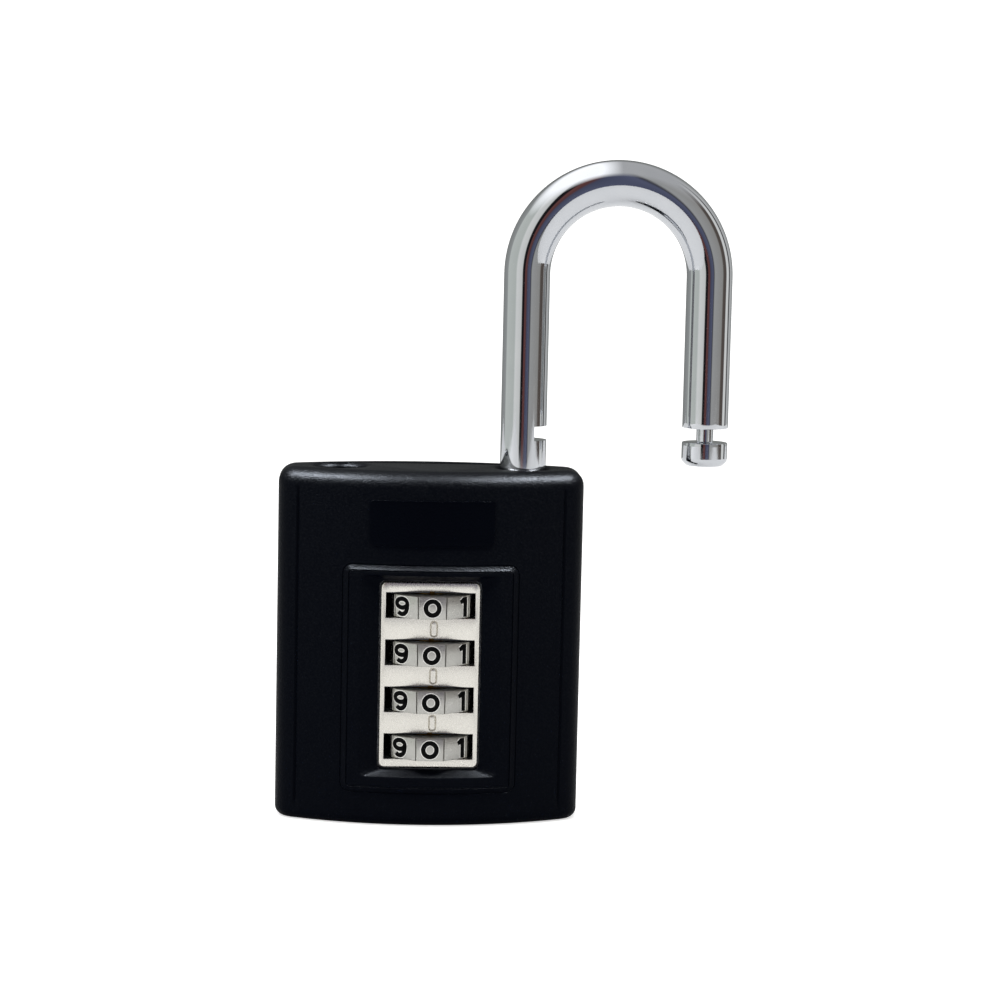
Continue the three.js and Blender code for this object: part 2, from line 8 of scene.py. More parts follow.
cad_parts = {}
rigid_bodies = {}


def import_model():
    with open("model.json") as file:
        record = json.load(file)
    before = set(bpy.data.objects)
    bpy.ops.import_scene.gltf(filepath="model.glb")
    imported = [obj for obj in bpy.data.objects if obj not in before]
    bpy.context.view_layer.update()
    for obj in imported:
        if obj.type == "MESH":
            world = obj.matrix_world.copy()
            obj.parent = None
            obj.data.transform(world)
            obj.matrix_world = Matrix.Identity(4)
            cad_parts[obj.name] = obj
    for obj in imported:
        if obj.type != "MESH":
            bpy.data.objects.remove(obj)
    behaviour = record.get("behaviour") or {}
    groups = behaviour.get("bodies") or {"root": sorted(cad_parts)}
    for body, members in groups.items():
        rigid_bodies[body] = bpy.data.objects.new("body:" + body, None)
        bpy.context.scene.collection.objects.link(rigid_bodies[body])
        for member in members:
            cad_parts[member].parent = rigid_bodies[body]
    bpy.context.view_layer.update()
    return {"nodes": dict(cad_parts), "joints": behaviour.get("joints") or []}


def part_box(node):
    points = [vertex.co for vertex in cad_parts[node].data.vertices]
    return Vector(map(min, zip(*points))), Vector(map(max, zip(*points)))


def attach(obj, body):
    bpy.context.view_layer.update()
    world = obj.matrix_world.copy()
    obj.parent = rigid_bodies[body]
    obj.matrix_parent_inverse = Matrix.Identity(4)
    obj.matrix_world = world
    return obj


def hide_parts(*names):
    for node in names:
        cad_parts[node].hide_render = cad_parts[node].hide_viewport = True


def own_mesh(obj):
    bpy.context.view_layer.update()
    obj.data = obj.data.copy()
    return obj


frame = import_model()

bl_info = {
    "name": "Combination padlock",
    "version": (1, 0, 0),
    "blender": (4, 5, 0),
    "location": "View3D > Sidebar > Padlock",
    "description": "Builds the visible pieces of a four-dial combination padlock on its CAD frame",
    "category": "Add Mesh",
}

MM = 0.001

# ---- Places taken from the frame ----
COVER_LOW, COVER_HIGH = (Vector(c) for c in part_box("front_cover"))
PLATE_LOW, PLATE_HIGH = (Vector(c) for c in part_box("dial_plate"))
SHACKLE_LOW, SHACKLE_HIGH = (Vector(c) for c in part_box("shackle"))
BODY_HALF = COVER_HIGH.x
BODY_TOP = COVER_HIGH.z
HALF_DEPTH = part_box("rear_cover")[1][1]
SEAM_FRONT = COVER_HIGH.y
SEAM_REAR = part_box("rear_cover")[0][1]
DIALS = ["dial_wheel_1", "dial_wheel_2", "dial_wheel_3", "dial_wheel_4"]


def dial_axis():
    """The dials' shared vertical axis."""
    joint = next(j for j in frame["joints"] if j["name"] == "dial_1_turn")
    return Vector((joint["pos_m"][0], joint["pos_m"][1], 0))


def swivel_axis():
    """The heel leg's axis, on which the shackle swings."""
    joint = next(j for j in frame["joints"] if j["name"] == "shackle_swivel")
    return Vector((joint["pos_m"][0], joint["pos_m"][1], 0))


# ---- Colour and nodes ----
def linear(code):
    """An sRGB hex colour such as "c8c4bb" as linear red, green and blue."""
    channels = [int(code[i:i + 2], 16) / 255 for i in (0, 2, 4)]
    return tuple(c / 12.92 if c <= 0.04045 else ((c + 0.055) / 1.055) ** 2.4 for c in channels)


def add_node(tree, kind, inputs=None, **settings):
    """Adds one shader node, with its settings, socket values and links."""
    made = tree.nodes.new(kind)
    for name, value in settings.items():
        setattr(made, name, value)
    for name, value in (inputs or {}).items():
        if isinstance(value, bpy.types.NodeSocket):
            tree.links.new(value, made.inputs[name])
        else:
            made.inputs[name].default_value = value
    return made


def new_material(name):
    """An empty node material and its tree."""
    material = bpy.data.materials.new(name)
    material.use_nodes = True
    material.node_tree.nodes.clear()
    return material, material.node_tree


def finish_material(tree, shader_inputs):
    """Adds the surface shader and the output."""
    shader = add_node(tree, "ShaderNodeBsdfPrincipled", shader_inputs)
    add_node(tree, "ShaderNodeOutputMaterial", {"Surface": shader.outputs["BSDF"]})


def grain(tree, size, detail=2.0, stretch=(1, 1, 1)):
    """Fine noise whose spots are about size across, in the object's own space."""
    place = add_node(tree, "ShaderNodeTexCoord")
    scaled = add_node(tree, "ShaderNodeMapping", {"Vector": place.outputs["Object"], "Scale": stretch})
    return add_node(tree, "ShaderNodeTexNoise",
                    {"Vector": scaled.outputs["Vector"], "Scale": 1 / size, "Detail": detail})


# Most of a noise pattern's values lie between these two.
NOISE_SPREAD = {"From Min": 0.3, "From Max": 0.7}


def spark_eroded_plastic(colour, shade):
    """Black ABS from a spark-eroded mould: satin, with an even grain that breaks up its highlights."""
    material, tree = new_material("satin_black_moulded_abs")
    fine = grain(tree, 0.28 * MM, 3)
    broad = grain(tree, 9 * MM, 2)
    tint = add_node(tree, "ShaderNodeMix", {
        "Factor": broad.outputs["Fac"], "A": (*colour, 1), "B": (*shade, 1)}, data_type="RGBA")
    rough = add_node(tree, "ShaderNodeMapRange", {
        **NOISE_SPREAD, "Value": fine.outputs["Fac"], "To Min": 0.28, "To Max": 0.46})
    bump = add_node(tree, "ShaderNodeBump", {
        "Strength": 0.9, "Distance": 0.08 * MM, "Height": fine.outputs["Fac"]})
    finish_material(tree, {
        "Base Color": tint.outputs["Result"], "Roughness": rough.outputs["Result"],
        "Specular IOR Level": 0.028, "Specular Tint": (0.8, 0.88, 1.0, 1.0), "IOR": 1.5,
        "Normal": bump.outputs["Normal"]})
    return material


def metal(name, colour, shade, rough, spot, bump_height, stretch=(1, 1, 1), bump_strength=0.3):
    """A bare or plated metal: colour and roughness vary with a fine pattern whose spots are spot across."""
    material, tree = new_material(name)
    fine = grain(tree, spot, 3, stretch)
    broad = grain(tree, 4 * MM, 2)
    tint = add_node(tree, "ShaderNodeMix", {
        "Factor": broad.outputs["Fac"], "A": (*colour, 1), "B": (*shade, 1)}, data_type="RGBA")
    roughness = add_node(tree, "ShaderNodeMapRange", {
        **NOISE_SPREAD, "Value": fine.outputs["Fac"], "To Min": rough[0], "To Max": rough[1]})
    bump = add_node(tree, "ShaderNodeBump", {
        "Strength": bump_strength, "Distance": bump_height, "Height": fine.outputs["Fac"]})
    finish_material(tree, {
        "Base Color": tint.outputs["Result"], "Metallic": 1.0, "Roughness": roughness.outputs["Result"],
        "Normal": bump.outputs["Normal"]})
    return material


def filled_paint(colour, shade):
    """Black enamel wiped into the engraved digits: matt, slightly uneven."""
    material, tree = new_material("black_engraving_paint")
    fine = grain(tree, 0.2 * MM, 2)
    tint = add_node(tree, "ShaderNodeMix", {
        "Factor": fine.outputs["Fac"], "A": (*colour, 1), "B": (*shade, 1)}, data_type="RGBA")
    rough = add_node(tree, "ShaderNodeMapRange", {
        "Value": fine.outputs["Fac"], "To Min": 0.5, "To Max": 0.7})
    finish_material(tree, {
        "Base Color": tint.outputs["Result"], "Roughness": rough.outputs["Result"],
        "Specular IOR Level": 0.08})
    return material


def finishes():
    """Every material of the lock, made once and kept by name."""
    if "satin_black_moulded_abs" in bpy.data.materials:
        return bpy.data.materials
    look = bpy.context.scene.padlock_finishes
    spark_eroded_plastic(look.plastic, look.plastic_shade)
    # Nickel plate over a tumbled zinc casting: soft bright satin, faintly mottled.
    metal("satin_nickel_plate", look.nickel, linear("dedbd4"), (0.25, 0.31), 0.22 * MM, 0.005 * MM)
    # The dials: same plate over a sandblasted casting, a little darker and coarser.
    metal("blasted_nickel_dial", look.dial, linear("b4b3ae"), (0.24, 0.46), 0.2 * MM, 0.05 * MM,
          bump_strength=0.5)
    # Decorative chrome on polished steel: mirror bright, with hair-fine polishing marks along the bar.
    metal("polished_chrome", look.chrome, linear("c3c6cb"), (0.03, 0.07), 0.5 * MM, 0.002 * MM,
          (1, 1, 0.1), 0.15)
    # Freshly cut edge of the engraving.
    metal("bright_cut_edge", linear("f2f1ee"), linear("e2e0db"), (0.2, 0.35), 0.3 * MM, 0.01 * MM)
    metal("as_cast_zinc", linear("8c8f93"), linear("7b7e82"), (0.45, 0.65), 0.5 * MM, 0.04 * MM)
    metal("turned_brass", linear("8f7440"), linear("7d6436"), (0.22, 0.36), 0.4 * MM, 0.01 * MM, (1, 1, 8))
    metal("plain_hardened_steel", linear("a3a5a8"), linear("909296"), (0.25, 0.4), 0.3 * MM, 0.01 * MM)
    filled_paint(look.paint, linear("050506"))
    return bpy.data.materials


# ---- Mesh helpers ----
def outline_loop(bm, points):
    """A closed loop of edges through the points; each vertex keeps its number in the layer "slot"."""
    slot = bm.verts.layers.int.get("slot") or bm.verts.layers.int.new("slot")
    verts = [bm.verts.new(p) for p in points]
    for i, v in enumerate(verts):
        v[slot] = i
    return [bm.edges.new((v, verts[(i + 1) % len(verts)])) for i, v in enumerate(verts)]


def extruded(bm, edges):
    """Extrudes a loop of edges; returns its new vertices and the new loop."""
    made = bmesh.ops.extrude_edge_only(bm, edges=edges)["geom"]
    verts = {g for g in made if isinstance(g, bmesh.types.BMVert)}
    return verts, [g for g in made if isinstance(g, bmesh.types.BMEdge) and set(g.verts) <= verts]


def next_loop(bm, edges, points):
    """Extrudes a loop of edges and puts each new vertex on the point of its number."""
    slot = bm.verts.layers.int["slot"]
    verts, loop = extruded(bm, edges)
    for v in verts:
        v.co = points[v[slot]]
    return loop


def skin(bm, rings):
    """A skin through rings of points that have the same count; returns its loops of edges."""
    loops = [outline_loop(bm, rings[0])]
    for points in rings[1:]:
        loops.append(next_loop(bm, loops[-1], points))
    return loops


def rounded(u, v, low, high, radius):
    """A point of the unit square's border or inside, carried to a rounded rectangle; returns x and z."""
    reach = max(abs(u), abs(v)) or 1
    half_x, half_z = (high[0] - low[0]) / 2, (high[1] - low[1]) / 2
    x, z = u / reach * half_x, v / reach * half_z
    over_x, over_z = abs(x) - (half_x - radius), abs(z) - (half_z - radius)
    if radius > 0 and over_x > 0 and over_z > 0:
        pull = radius / math.hypot(over_x, over_z)
        x = math.copysign(half_x - radius + over_x * pull, x)
        z = math.copysign(half_z - radius + over_z * pull, z)
    return (low[0] + high[0]) / 2 + x * reach, (low[1] + high[1]) / 2 + z * reach


def circle_points(centre, radius, z, count):
    """Points round a level circle."""
    turns = [math.tau * i / count for i in range(count)]
    return [Vector((centre.x + radius * math.cos(a), centre.y + radius * math.sin(a), z)) for a in turns]


def fill_flat(bm, edges, normal):
    """Fills a flat outline and leaves its inner loops open."""
    bmesh.ops.triangle_fill(bm, use_beauty=True, use_dissolve=False, edges=edges, normal=normal)


def finished(name, bm, body, material, replaces=(), probe=None, sharp=32):
    """Turns a bmesh into a piece that rides on a body; its faces point out, its hard edges stay."""
    bmesh.ops.recalc_face_normals(bm, faces=bm.faces)
    if probe is not None:
        far = max(bm.faces, key=lambda f: f.calc_center_median().dot(probe))
        if far.normal.dot(probe) < 0:
            bmesh.ops.reverse_faces(bm, faces=bm.faces)
    mesh = bpy.data.meshes.new(name)
    bm.to_mesh(mesh)
    bm.free()
    mesh.shade_smooth()
    mesh.set_sharp_from_angle(angle=math.radians(sharp))
    piece = bpy.data.objects.new(name, mesh)
    bpy.context.scene.collection.objects.link(piece)
    for one in material if isinstance(material, list) else [material]:
        mesh.materials.append(finishes()[one])
    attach(piece, body)
    if replaces:
        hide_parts(*replaces)
    return piece


def thicken(piece, thickness):
    """Gives an open skin its wall, inwards."""
    wall = piece.modifiers.new("wall", "SOLIDIFY")
    wall.thickness = thickness
    wall.offset = -1


# ---- The bowed body ----
FILLET_STEPS = 8
CORNER_STEPS = 8
MOUTH_SIDES = 48
# Everything of the front face lies in front of this depth, and everything of the sides behind it.
FACE_BEHIND = -4 * MM


class Bow:
    """The body's plan: bowed front and back, flat sides, rounded corners between them."""

    def __init__(self, sizes):
        self.side_radius = sizes.side_radius
        self.side_flat = sizes.side_flat
        self.corner_x = BODY_HALF - sizes.side_radius
        sag = HALF_DEPTH - sizes.side_flat / 2
        self.radius = ((sag ** 2 + self.corner_x ** 2 - sizes.side_radius ** 2)
                       / (2 * (sag - sizes.side_radius)))
        self.centre = self.radius - HALF_DEPTH
        self.turn = math.asin(self.corner_x / (self.radius - sizes.side_radius))

    def face(self, x, inset=0.0):
        """Depth of the front face at x."""
        return self.centre - math.sqrt((self.radius - inset) ** 2 - x * x)

    def on_arc(self, x, inset):
        """A front point that started at x and went in by inset, square to the face."""
        a = math.asin(x / self.radius)
        return ((self.radius - inset) * math.sin(a), self.centre - (self.radius - inset) * math.cos(a))

    def on_corner(self, share, inset):
        """A point on the front right corner: share 0 meets the face, share 1 meets the side."""
        a = self.turn + (math.pi / 2 - self.turn) * share
        reach = self.side_radius - inset
        return (self.corner_x + reach * math.sin(a), -self.side_flat / 2 - reach * math.cos(a))

    def edge_x(self):
        """Where the face's arc meets the rounded corner."""
        return self.radius * math.sin(self.turn)

    def plan(self, stations, inset, groove_x, groove):
        """The whole plan, from the front middle to the right, with front points at the x stations."""
        front = []
        for x in stations:
            deep = groove if abs(abs(x) - groove_x) < 1e-7 else 0
            front.append(self.on_arc(x, inset + deep))
        corner = [self.on_corner(k / CORNER_STEPS, inset) for k in range(1, CORNER_STEPS + 1)]
        back = [(x, -y) for x, y in (self.on_arc(x, inset) for x in stations)]
        right = [*front, *corner, *[(x, -y) for x, y in reversed(corner)], *reversed(back)]
        left = [(-x, y) for x, y in reversed(right[1:-1])]
        return [*right, *left]


def spaced(low, high, count):
    """Even steps from low to high, both included."""
    return [low + (high - low) * i / count for i in range(count + 1)]


def crowded(low, high, count, end_share, end_count):
    """Stations from low to high that crowd together near both ends."""
    end = (high - low) * end_share
    return [*spaced(low, low + end, end_count), *spaced(low + end, high - end, count)[1:],
            *spaced(high - end, high, end_count)[1:]]


def fillet_steps(radius, count):
    """Insets and heights of a quarter-round edge, from the flat end to the wall."""
    return [(radius * (1 - math.sin(a)), radius * (1 - math.cos(a)))
            for a in (math.pi / 2 * i / count for i in range(count + 1))]


def body_skin(bm, sizes, with_groove):
    """The whole outside of the body, with its mouths for the shackle and for the change plunger."""
    bow = Bow(sizes)
    half = sizes.panel_half + sizes.panel_margin
    inner = [x for x in crowded(-half, half, 26, 0.06, 5) if x > -1e-9]
    groove_x = BODY_HALF - sizes.groove_inset
    width = sizes.groove_width / 2
    outer = [*spaced(half, groove_x - width, 8)[1:], groove_x, *spaced(groove_x + width, bow.edge_x(), 2)]
    stations = sorted({round(x, 9) for x in [0.0, *inner, *outer]})
    z_low, z_high = panel_block(sizes)
    groove_end = sizes.edge_radius + sizes.groove_run_out
    straight = [*spaced(groove_end, z_low, 2)[:-1], *crowded(z_low, z_high, 24, 0.05, 5),
                *spaced(z_high, BODY_TOP - groove_end, 8)[1:]]
    depth = sizes.groove_depth if with_groove else 0.0
    rows = [(inset, z, 0.0) for inset, z in fillet_steps(sizes.base_radius, FILLET_STEPS)]
    rows += [(0.0, z, depth) for z in straight]
    top_edge = fillet_steps(sizes.edge_radius, FILLET_STEPS)
    rows += [(inset, BODY_TOP - z, 0.0) for inset, z in reversed(top_edge)]
    loops = skin(bm, [[Vector((x, y, z)) for x, y in bow.plan(stations, inset, groove_x, groove)]
                      for inset, z, groove in rows])
    mouths = []
    mouth = sizes.mouth_radius
    hole = sizes.change_hole
    for centre in (swivel_axis(), Vector((-swivel_axis().x, swivel_axis().y, 0))):
        mouths.append(("top", centre, [
            (mouth + 1.0 * MM, 0), (mouth + 0.55 * MM, 0.12 * MM), (mouth + 0.12 * MM, 0.5 * MM),
            (mouth, 0.8 * MM), (mouth, 1.9 * MM)]))
    mouths.append(("base", dial_axis(), [(hole + 0.3 * MM, 0), (hole, 0.3 * MM), (hole, 1.8 * MM)]))
    for side, last, level, turn in (("top", loops[-1], BODY_TOP, -1), ("base", loops[0], 0.0, 1)):
        flat = list(last)
        inner_loops = []
        for where, centre, steps in mouths:
            if where != side:
                continue
            ring = outline_loop(bm, circle_points(centre, steps[0][0], level, MOUTH_SIDES))
            flat += ring
            inner_loops.append((ring, centre, steps))
        fill_flat(bm, flat, (0, 0, -turn))
        for ring, centre, steps in inner_loops:
            for radius, depth_in in steps[1:]:
                points = circle_points(centre, radius, level + turn * depth_in, MOUTH_SIDES)
                ring = next_loop(bm, ring, points)
    return bow


def panel_block(sizes):
    """Lowest and highest z of the part of the face that the raised frame takes up."""
    return (PLATE_LOW.z - sizes.panel_below - sizes.panel_margin,
            PLATE_HIGH.z + sizes.panel_above + sizes.panel_margin)


def raise_panel(bm, sizes, bow):
    """Replaces a block of the front face by the raised frame and the dished opening for the plate."""
    half = sizes.panel_half + sizes.panel_margin
    z_low, z_high = panel_block(sizes)
    tiny = 1e-6

    def in_block(part):
        return all(v.co.y < FACE_BEHIND and abs(v.co.x) < half + tiny
                   and z_low - tiny < v.co.z < z_high + tiny for v in part.verts)

    block = [f for f in bm.faces if in_block(f)]
    across = bm.verts.layers.float.new("across")
    along = bm.verts.layers.float.new("along")
    bmesh.ops.delete(bm, geom=block, context="FACES")
    border = [e for e in bm.edges if e.is_boundary and in_block(e)]
    for v in {v for e in border for v in e.verts}:
        v[across] = v.co.x / half
        v[along] = (v.co.z - (z_low + z_high) / 2) / ((z_high - z_low) / 2)

    def step(edges, low, high, radius, depth):
        """The next loop inwards: a rounded rectangle from low to high, as deep as depth(x) says."""
        verts, loop = extruded(bm, edges)
        for v in verts:
            x, z = rounded(v[across], v[along], low, high, radius)
            v.co = Vector((x, depth(x), z))
        return loop

    foot_low = (-sizes.panel_half, PLATE_LOW.z - sizes.panel_below)
    foot_high = (sizes.panel_half, PLATE_HIGH.z + sizes.panel_above)
    rise = sizes.panel_rise
    slope = sizes.panel_slope
    line = sizes.panel_line
    section = [(-1.4 * line, 0), (-0.7 * line, -line), (0.0, -line), (0.3 * line, 0.1 * rise),
               (slope - 0.3 * line, 0.9 * rise), (slope, rise), (slope + 0.4 * line, rise),
               (slope + 1.0 * line, rise - line), (slope + 1.5 * line, rise - line),
               (slope + 2.1 * line, rise)]
    loop = border
    for inset, height in section:
        low = (foot_low[0] + inset, foot_low[1] + inset)
        high = (foot_high[0] - inset, foot_high[1] - inset)
        corner = max(sizes.panel_corner - inset, 0.5 * MM)
        loop = step(loop, low, high, corner, lambda x, h=height: bow.face(x) - h)

    clear = sizes.plate_clearance
    mouth_low = Vector((PLATE_LOW.x - clear, PLATE_LOW.z - clear))
    mouth_high = Vector((PLATE_HIGH.x + clear, PLATE_HIGH.z + clear))
    rim_low = Vector((PLATE_LOW.x - sizes.dish_side, PLATE_LOW.z - sizes.dish_below))
    rim_high = Vector((PLATE_HIGH.x + sizes.dish_side, PLATE_HIGH.z + sizes.dish_above))
    lip = PLATE_LOW.y - 0.15 * MM
    out = Vector((0.12 * MM, 0.12 * MM))
    corner = sizes.dish_corner
    for reach, extra in ((3, 0.3 * MM), (1, 0.1 * MM)):
        loop = step(loop, rim_low - reach * out, rim_high + reach * out, corner + extra,
                    lambda x: bow.face(x) - rise)
    for share in (0.03, 0.08, 0.25, 0.45, 0.65, 0.85, 0.97):
        low = rim_low.lerp(mouth_low, share)
        high = rim_high.lerp(mouth_high, share)
        stretch = rim_high.x / high.x
        loop = step(loop, low, high, corner,
                    lambda x, s=share, k=stretch: (bow.face(x * k) - rise) * (1 - s) + lip * s)
    for depth in (lip + 0.1 * MM, PLATE_HIGH.y - 0.1 * MM):
        loop = step(loop, mouth_low, mouth_high, corner, lambda x, y=depth: y)


def split_at(bm, y, keep_front):
    """Cuts a skin at y and keeps one side."""
    bmesh.ops.bisect_plane(bm, geom=[*bm.verts, *bm.edges, *bm.faces], dist=1e-7, plane_co=(0, y, 0),
                           plane_no=(0, 1, 0), clear_outer=keep_front, clear_inner=not keep_front)


class PADLOCK_OT_covers(bpy.types.Operator):
    """Builds the two moulded covers and the blank badge"""
    bl_idname = "padlock.covers"
    bl_label = "Covers"

    def execute(self, context):
        sizes = context.scene.padlock_sizes
        bm = bmesh.new()
        bow = body_skin(bm, sizes, True)
        split_at(bm, SEAM_FRONT, True)
        raise_panel(bm, sizes, bow)
        front = finished("moulded_front_cover", bm, "case", "satin_black_moulded_abs", ["front_cover"],
                         Vector((0, -1, 0)))
        thicken(front, sizes.wall)
        bm = bmesh.new()
        body_skin(bm, sizes, False)
        split_at(bm, SEAM_REAR, False)
        rear = finished("moulded_rear_cover", bm, "case", "satin_black_moulded_abs", ["rear_cover"],
                        Vector((0, 1, 0)))
        thicken(rear, sizes.wall)
        self.badge(sizes, bow)
        return {"FINISHED"}

    def badge(self, sizes, bow):
        """A plain raised pad on the face above the frame."""
        bm = bmesh.new()
        bmesh.ops.create_grid(bm, x_segments=32, y_segments=16, size=1)
        across = bm.verts.layers.float.new("across")
        along = bm.verts.layers.float.new("along")
        for v in bm.verts:
            v[across], v[along] = v.co.x, v.co.y
        half = Vector((sizes.badge_width / 2, sizes.badge_height / 2))
        middle = Vector((0, sizes.badge_z))

        def place(verts, inset, height):
            low = middle - half + Vector((inset, inset))
            high = middle + half - Vector((inset, inset))
            for v in verts:
                x, z = rounded(v[across], v[along], low, high, max(0.9 * MM - inset, 0.3 * MM))
                v.co = Vector((x, bow.face(x) - height, z))

        rise = sizes.badge_rise
        place(bm.verts, 0.34 * MM, rise)
        loop = [e for e in bm.edges if e.is_boundary]
        for inset, height in ((0.24 * MM, 0.94 * rise), (0.08 * MM, 0.2 * rise), (0.0, 0.02 * rise),
                              (0.0, -0.3 * MM)):
            verts, loop = extruded(bm, loop)
            place(verts, inset, height)
        fill_flat(bm, loop, (0, 1, 0))
        finished("blank_badge", bm, "case", "satin_black_moulded_abs",
                 probe=Vector((0, -1, 0)))


# ---- Dial plate ----
def border_stations(count_x, count_z, share, ends):
    """Points round the unit square's border, crowded near its corners."""
    side = crowded(-1, 1, count_x, share, ends)
    rise = crowded(-1, 1, count_z, share, ends)
    return [*[(u, -1) for u in side[:-1]], *[(1, v) for v in rise[:-1]],
            *[(-u, 1) for u in side[:-1]], *[(-1, -v) for v in rise[:-1]]]


class PADLOCK_OT_dial_plate(bpy.types.Operator):
    """Builds the window plate in front of the dials"""
    bl_idname = "padlock.dial_plate"
    bl_label = "Dial plate"

    def execute(self, context):
        sizes = context.scene.padlock_sizes
        bm = bmesh.new()
        front, back = PLATE_LOW.y, PLATE_HIGH.y
        border = border_stations(6, 6, 0.05, 5)
        flat = []
        walls = []

        def sheet(stations, low, high, radius, steps):
            """One outline of the plate and the steps of its edge: how far in, and how deep."""
            rings = []
            for inset, depth in steps:
                near = (low[0] + inset, low[1] + inset)
                far = (high[0] - inset, high[1] - inset)
                spots = [rounded(u, v, near, far, max(radius - inset, 0.05 * MM)) for u, v in stations]
                rings.append([Vector((x, depth, z)) for x, z in spots])
            return skin(bm, rings)

        edge = [(0.3 * MM, front), (0.14 * MM, front + 0.04 * MM), (0.03 * MM, front + 0.16 * MM),
                (0.0, front + 0.32 * MM), (0.0, back)]
        outside = sheet(border, (PLATE_LOW.x, PLATE_LOW.z), (PLATE_HIGH.x, PLATE_HIGH.z),
                        sizes.plate_corner, edge)
        flat += outside[0]
        walls += outside[-1]

        half_w = sizes.window_width / 2
        for name in DIALS:
            low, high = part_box(name)[0][2] - sizes.gap_below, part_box(name)[1][2] + sizes.gap_above
            z, half_h = (low + high) / 2, (high - low) / 2
            outline = [(-half_w, -half_h), (half_w, -half_h), (half_w, half_h)]
            outline += [(t * half_w * 0.84, half_h + sizes.window_arch * (1 - t * t)) for t in
                        (1 - i / 12 for i in range(25))]
            outline += [(-half_w, half_h)]
            steps = [(0.08 * MM, front), (0.02 * MM, front + 0.02 * MM), (0.0, front + 0.08 * MM),
                     (0.0, back)]
            loops = skin(bm, [[Vector((x * (1 + grow / half_w), depth, z + h * (1 + grow / half_h)))
                               for x, h in outline] for grow, depth in steps])
            flat += loops[0]
            walls += loops[-1]

        middles = [sum(c[2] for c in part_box(name)) / 2 for name in DIALS]
        pill = border_stations(2, 2, 0.24, 6)
        for low_z, high_z in zip(middles, middles[1:]):
            z = (low_z + high_z) / 2 + sizes.mark_lift
            low = (sizes.mark_x - sizes.mark_width / 2, z - sizes.mark_height / 2)
            high = (sizes.mark_x + sizes.mark_width / 2, z + sizes.mark_height / 2)
            line = sizes.mark_line
            deep = front + 0.3 * MM
            loops = sheet(pill, low, high, sizes.mark_width / 2,
                          [(0, front), (0.2 * line, deep - 0.05 * MM), (0.5 * line, deep),
                           (0.8 * line, deep - 0.05 * MM), (line, front - 0.01 * MM),
                           (1.3 * line, front - 0.03 * MM)])
            flat += loops[0]
            fill_flat(bm, loops[-1], (0, -1, 0))
        fill_flat(bm, flat, (0, -1, 0))
        fill_flat(bm, walls, (0, 1, 0))
        finished("window_plate", bm, "case", "satin_nickel_plate", ["dial_plate"],
                 Vector((0, -1, 0)), 40)
        return {"FINISHED"}


# ---- Dials ----
# Height of the digits as digit_strokes draws them.
DRAWN_HEIGHT = 3.2 * MM


def arc(cx, cz, rx, rz, start, end, count=18):
    """Points on an ellipse's arc, angles in degrees, in millimetres."""
    return [(cx + rx * math.cos(math.radians(start + (end - start) * i / count)),
             cz + rz * math.sin(math.radians(start + (end - start) * i / count))) for i in range(count + 1)]


def digit_strokes():
    """Centre lines of the ten digits, in millimetres from a facet's middle; True marks a closed one."""
    six = [(arc(0, -0.53, 1.02, 0.72, 0, 360, 28), True),
           ([(-1.02, -0.5), *arc(0, 0.0, 1.02, 1.25, 180, 48)], False)]
    return {
        0: [(arc(0, 0, 1.08, 1.14, 0, 360, 32), True)],
        1: [([(0.32, -1.62), (0.32, 1.6)], False), ([(0.1, 1.35), (-0.3, 0.98), (-0.66, 0.8)], False)],
        2: [(arc(0, 0.52, 0.98, 0.82, 165, -30) + [(-0.92, -1.22)], False),
            ([(-1.2, -1.3), (1.2, -1.3)], False)],
        3: [(arc(-0.02, 0.66, 0.86, 0.66, 155, -90), False),
            (arc(-0.02, -0.62, 0.98, 0.68, 90, -155), False)],
        4: [([(0.42, -1.62), (0.42, 1.6)], False), ([(0.3, 1.4), (-1.05, -0.5)], False),
            ([(-1.3, -0.62), (1.25, -0.62)], False)],
        5: [([(1.05, 1.3), (-0.78, 1.3)], False), ([(-0.7, 1.4), (-0.86, 0.0)], False),
            (arc(0, -0.42, 1.0, 0.86, 145, -155), False)],
        6: six,
        7: [([(-1.2, 1.3), (1.15, 1.3)], False), ([(0.95, 1.25), (-0.35, -1.62)], False)],
        8: [(arc(0, 0.72, 0.78, 0.58, 0, 360, 28), True), (arc(0, -0.62, 0.96, 0.68, 0, 360, 28), True)],
        9: [([(-x, -z) for x, z in line], closed) for line, closed in six],
    }


def ribbon(bm, line, closed, width, to_space, material):
    """A flat band of even width along a centre line."""
    count = len(line) - 1 if closed else len(line)
    rails = []
    for i in range(count):
        before = line[(i - 1) % count] if closed or i else line[i]
        after = line[(i + 1) % count] if closed or i + 1 < count else line[i]
        way = Vector((after[0] - before[0], after[1] - before[1])).normalized()
        side = Vector((-way.y, way.x)) * width / 2
        rails.append([bm.verts.new(to_space(line[i][0] + s * side.x, line[i][1] + s * side.y))
                      for s in (1, -1)])
    pairs = list(zip(rails, rails[1:])) + ([(rails[-1], rails[0])] if closed else [])
    for a, b in pairs:
        bm.faces.new((a[0], a[1], b[1], b[0])).material_index = material


